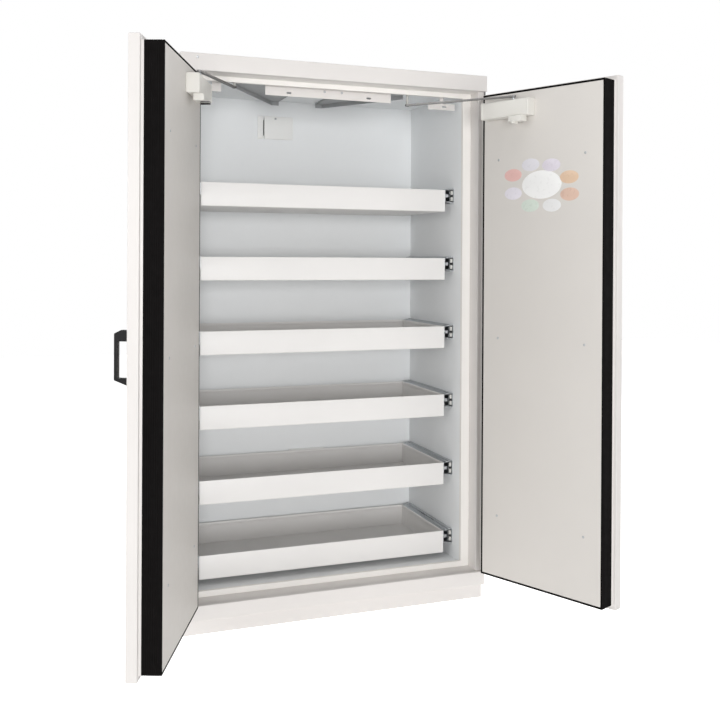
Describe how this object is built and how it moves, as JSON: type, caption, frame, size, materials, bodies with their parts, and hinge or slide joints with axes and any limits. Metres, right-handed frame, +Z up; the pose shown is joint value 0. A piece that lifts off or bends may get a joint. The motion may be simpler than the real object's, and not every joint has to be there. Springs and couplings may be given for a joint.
{
  "type": "reagent drawer cabinet",
  "caption": "Tall insulated safety cabinet with hinged doors, door closers with arms, full-width pull-out trays on telescopic slides, a plinth and roof duct spigots.",
  "frame": {"origin": "centre of the body's footprint on the floor, under the plinth", "axes": "+X to the right seen from the front, doors and trays face -Y, +Z up"},
  "size_m": [1.6427, 1.1666, 2],
  "materials": {
    "body_white": "powder coat, white",
    "liner_grey": "melamine-faced board, light grey",
    "mineral_board": "raw mineral insulation board",
    "band_black": "matt intumescent strip",
    "panel_grey": "powder coat, warm light grey",
    "tray_white": "powder coat, white",
    "closer_white": "powder coat, white, satin",
    "zinc": "zinc-plated",
    "duct_steel": "galvanised sheet",
    "baffle_grey": "grey sheet",
    "pin_steel": "ground steel",
    "bush_brass": "turned brass",
    "handle_black": "moulded black plastic",
    "feet_black": "moulded black plastic",
    "slider_plastic": "low-friction plastic"
  },
  "bodies": {
    "cabinet": {"casing_left": "body_white", "casing_right": "body_white", "casing_top": "body_white", "casing_back": "body_white", "casing_base": "body_white", "insulation_boards": "mineral_board", "liner_sides": "liner_grey", "liner_back": "liner_grey", "liner_ceiling": "liner_grey", "liner_floor": "liner_grey", "front_frame": "body_white", "top_fascia": "body_white", "plinth_ledge": "body_white", "plinth_base": "body_white", "levelling_feet": "feet_black", "hinge_pins": "pin_steel", "header_plates": "body_white", "air_baffles": "baffle_grey", "vent_covers": "body_white", "air_ducts": "duct_steel", "roof_spigots": "duct_steel", "body_screws": "zinc", "slide_rails": "zinc"},
    "left_door": {"door_left_skin": "body_white", "door_left_core": "mineral_board", "door_left_band": "band_black", "door_left_panel": "panel_grey", "door_left_screws": "zinc", "door_left_bushes": "bush_brass", "door_left_closer": "closer_white", "door_left_handle": "handle_black"},
    "left_closer_arm": {"closer_arm_left": "zinc"},
    "left_arm_slider": {"closer_slider_left": "slider_plastic"},
    "right_door": {"door_right_skin": "body_white", "door_right_core": "mineral_board", "door_right_band": "band_black", "door_right_panel": "panel_grey", "door_right_screws": "zinc", "door_right_bushes": "bush_brass", "door_right_closer": "closer_white"},
    "right_closer_arm": {"closer_arm_right": "zinc"},
    "right_arm_slider": {"closer_slider_right": "slider_plastic"},
    "tray_1": {"tray_1_pan": "tray_white", "tray_1_runners": "zinc"},
    "tray_1_middle_members": {"tray_1_middles": "zinc"},
    "tray_2": {"tray_2_pan": "tray_white", "tray_2_runners": "zinc"},
    "tray_2_middle_members": {"tray_2_middles": "zinc"},
    "tray_3": {"tray_3_pan": "tray_white", "tray_3_runners": "zinc"},
    "tray_3_middle_members": {"tray_3_middles": "zinc"},
    "tray_4": {"tray_4_pan": "tray_white", "tray_4_runners": "zinc"},
    "tray_4_middle_members": {"tray_4_middles": "zinc"},
    "tray_5": {"tray_5_pan": "tray_white", "tray_5_runners": "zinc"},
    "tray_5_middle_members": {"tray_5_middles": "zinc"},
    "tray_6": {"tray_6_pan": "tray_white", "tray_6_runners": "zinc"},
    "tray_6_middle_members": {"tray_6_middles": "zinc"}
  },
  "joints": [
    {"name": "left_door_hinge", "type": "hinge", "parent": "cabinet", "child": "left_door", "pos_m": [-0.563, -0.3215, 0.99], "axis": [0, 0, -1], "range_deg": [-111.7, 8.3]},
    {"name": "right_door_hinge", "type": "hinge", "parent": "cabinet", "child": "right_door", "pos_m": [0.563, -0.3215, 0.99], "axis": [0, 0, 1], "range_deg": [-114.3, 5.7]},
    {"name": "left_arm_pivot", "type": "hinge", "parent": "left_door", "child": "left_closer_arm", "pos_m": [-0.52999, -0.45626, 1.862], "axis": [0, 0, -1], "range_deg": [-12.2, 163.1]},
    {"name": "left_arm_slider_travel", "type": "slide", "parent": "cabinet", "child": "left_arm_slider", "axis": [-1, 0, 0], "range_m": [-0.1995, 0.015]},
    {"name": "right_arm_pivot", "type": "hinge", "parent": "right_door", "child": "right_closer_arm", "pos_m": [0.56009, -0.54226, 1.839], "axis": [0, 0, 1], "range_deg": [-8.2, 163.5]},
    {"name": "right_arm_slider_travel", "type": "slide", "parent": "cabinet", "child": "right_arm_slider", "axis": [1, 0, 0], "range_m": [-0.3445, 0.0175]},
    {"name": "tray_1_pull", "type": "slide", "parent": "cabinet", "child": "tray_1", "axis": [0, -1, 0], "range_m": [0, 0.38]},
    {"name": "tray_1_middle_travel", "type": "slide", "parent": "cabinet", "child": "tray_1_middle_members", "axis": [0, -1, 0], "range_m": [0, 0.19]},
    {"name": "tray_2_pull", "type": "slide", "parent": "cabinet", "child": "tray_2", "axis": [0, -1, 0], "range_m": [0, 0.38]},
    {"name": "tray_2_middle_travel", "type": "slide", "parent": "cabinet", "child": "tray_2_middle_members", "axis": [0, -1, 0], "range_m": [0, 0.19]},
    {"name": "tray_3_pull", "type": "slide", "parent": "cabinet", "child": "tray_3", "axis": [0, -1, 0], "range_m": [0, 0.38]},
    {"name": "tray_3_middle_travel", "type": "slide", "parent": "cabinet", "child": "tray_3_middle_members", "axis": [0, -1, 0], "range_m": [0, 0.19]},
    {"name": "tray_4_pull", "type": "slide", "parent": "cabinet", "child": "tray_4", "axis": [0, -1, 0], "range_m": [0, 0.38]},
    {"name": "tray_4_middle_travel", "type": "slide", "parent": "cabinet", "child": "tray_4_middle_members", "axis": [0, -1, 0], "range_m": [0, 0.19]},
    {"name": "tray_5_pull", "type": "slide", "parent": "cabinet", "child": "tray_5", "axis": [0, -1, 0], "range_m": [0, 0.38]},
    {"name": "tray_5_middle_travel", "type": "slide", "parent": "cabinet", "child": "tray_5_middle_members", "axis": [0, -1, 0], "range_m": [0, 0.19]},
    {"name": "tray_6_pull", "type": "slide", "parent": "cabinet", "child": "tray_6", "axis": [0, -1, 0], "range_m": [0, 0.38]},
    {"name": "tray_6_middle_travel", "type": "slide", "parent": "cabinet", "child": "tray_6_middle_members", "axis": [0, -1, 0], "range_m": [0, 0.19]}
  ],
  "couplings": [
    {"joint": "left_arm_pivot", "follows": "left_door_hinge", "ratio": -1.46},
    {"joint": "left_arm_slider_travel", "follows": "left_door_hinge", "m_per_rad": 0.10229},
    {"joint": "right_arm_pivot", "follows": "right_door_hinge", "ratio": -1.4301},
    {"joint": "right_arm_slider_travel", "follows": "right_door_hinge", "m_per_rad": 0.17245},
    {"joint": "tray_1_middle_travel", "follows": "tray_1_pull", "ratio": 0.5},
    {"joint": "tray_2_middle_travel", "follows": "tray_2_pull", "ratio": 0.5},
    {"joint": "tray_3_middle_travel", "follows": "tray_3_pull", "ratio": 0.5},
    {"joint": "tray_4_middle_travel", "follows": "tray_4_pull", "ratio": 0.5},
    {"joint": "tray_5_middle_travel", "follows": "tray_5_pull", "ratio": 0.5},
    {"joint": "tray_6_middle_travel", "follows": "tray_6_pull", "ratio": 0.5}
  ]
}
